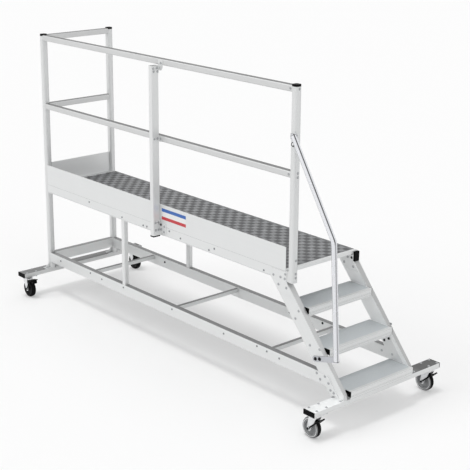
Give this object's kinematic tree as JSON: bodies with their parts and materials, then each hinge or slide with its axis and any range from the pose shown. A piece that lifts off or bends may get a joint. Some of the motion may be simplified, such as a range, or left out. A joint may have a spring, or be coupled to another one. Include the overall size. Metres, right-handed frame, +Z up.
{
  "type": "mobile work platform",
  "caption": "Long guarded aluminium work platform with a tread plate deck, treads and a handrail at one end, and braked swivel castors on two outriggers.",
  "frame": {"origin": "middle of the overall box in plan, on the floor", "axes": "+X along the deck towards the treads, +Y across from the guarded side to the open side, +Z up"},
  "size_m": [3.12, 1.084, 1.94],
  "materials": {
    "satin_aluminium": "satin",
    "tread_aluminium": "ribbed satin",
    "deck_tread_plate": "raised bar pattern",
    "black_plastic": "matt",
    "zinc_steel": "zinc plated",
    "black_pedal": "satin",
    "wheel_centre": "matt",
    "tyre": "matt rubber"
  },
  "bodies": {
    "frame": {"post_near_left": "satin_aluminium", "post_far_left": "satin_aluminium", "post_near_right": "satin_aluminium", "post_centre": "satin_aluminium", "post_caps": "black_plastic", "post_brackets": "satin_aluminium", "post_feet": "satin_aluminium", "top_rail_side": "satin_aluminium", "mid_rail_side": "satin_aluminium", "top_rail_end": "satin_aluminium", "mid_rail_end": "satin_aluminium", "toe_board_side": "satin_aluminium", "toe_board_end": "satin_aluminium", "beam_near": "satin_aluminium", "beam_far": "satin_aluminium", "beam_end": "satin_aluminium", "beam_cap": "black_plastic", "deck_plate": "deck_tread_plate", "deck_nosing": "satin_aluminium", "deck_joists": "satin_aluminium", "base_rail_near": "satin_aluminium", "base_rail_far": "satin_aluminium", "base_rail_end": "satin_aluminium", "base_cross_tubes": "satin_aluminium", "mid_legs": "satin_aluminium", "outrigger_left": "satin_aluminium", "outrigger_right": "satin_aluminium", "outrigger_caps": "black_plastic", "stringer_near": "satin_aluminium", "stringer_far": "satin_aluminium", "stringer_plates": "satin_aluminium", "handrail": "satin_aluminium", "handrail_brackets": "satin_aluminium", "castor_plates": "zinc_steel", "tread_1": "tread_aluminium", "tread_2": "tread_aluminium", "tread_3": "tread_aluminium", "tread_caps": "black_plastic"},
    "swivel_near_left": {"fork_near_left": "zinc_steel", "pedal_near_left": "black_pedal"},
    "wheel_near_left": {"rim_near_left": "wheel_centre", "tyre_near_left": "tyre"},
    "swivel_far_left": {"fork_far_left": "zinc_steel", "pedal_far_left": "black_pedal"},
    "wheel_far_left": {"rim_far_left": "wheel_centre", "tyre_far_left": "tyre"},
    "swivel_near_right": {"fork_near_right": "zinc_steel", "pedal_near_right": "black_pedal"},
    "wheel_near_right": {"rim_near_right": "wheel_centre", "tyre_near_right": "tyre"},
    "swivel_far_right": {"fork_far_right": "zinc_steel", "pedal_far_right": "black_pedal"},
    "wheel_far_right": {"rim_far_right": "wheel_centre", "tyre_far_right": "tyre"}
  },
  "joints": [
    {"name": "swivel_near_left", "type": "hinge", "parent": "frame", "child": "swivel_near_left", "pos_m": [-1.518, -0.487, 0.1427], "axis": [0, 0, 1], "continuous": true},
    {"name": "roll_near_left", "type": "hinge", "parent": "swivel_near_left", "child": "wheel_near_left", "pos_m": [-1.493, -0.487, 0.0625], "axis": [0, 1, 0], "continuous": true},
    {"name": "swivel_far_left", "type": "hinge", "parent": "frame", "child": "swivel_far_left", "pos_m": [-1.518, 0.487, 0.1427], "axis": [0, 0, 1], "continuous": true},
    {"name": "roll_far_left", "type": "hinge", "parent": "swivel_far_left", "child": "wheel_far_left", "pos_m": [-1.493, 0.487, 0.0625], "axis": [0, 1, 0], "continuous": true},
    {"name": "swivel_near_right", "type": "hinge", "parent": "frame", "child": "swivel_near_right", "pos_m": [1.502, -0.487, 0.1427], "axis": [0, 0, 1], "continuous": true},
    {"name": "roll_near_right", "type": "hinge", "parent": "swivel_near_right", "child": "wheel_near_right", "pos_m": [1.477, -0.487, 0.0625], "axis": [0, 1, 0], "continuous": true},
    {"name": "swivel_far_right", "type": "hinge", "parent": "frame", "child": "swivel_far_right", "pos_m": [1.502, 0.487, 0.1427], "axis": [0, 0, 1], "continuous": true},
    {"name": "roll_far_right", "type": "hinge", "parent": "swivel_far_right", "child": "wheel_far_right", "pos_m": [1.477, 0.487, 0.0625], "axis": [0, 1, 0], "continuous": true}
  ]
}
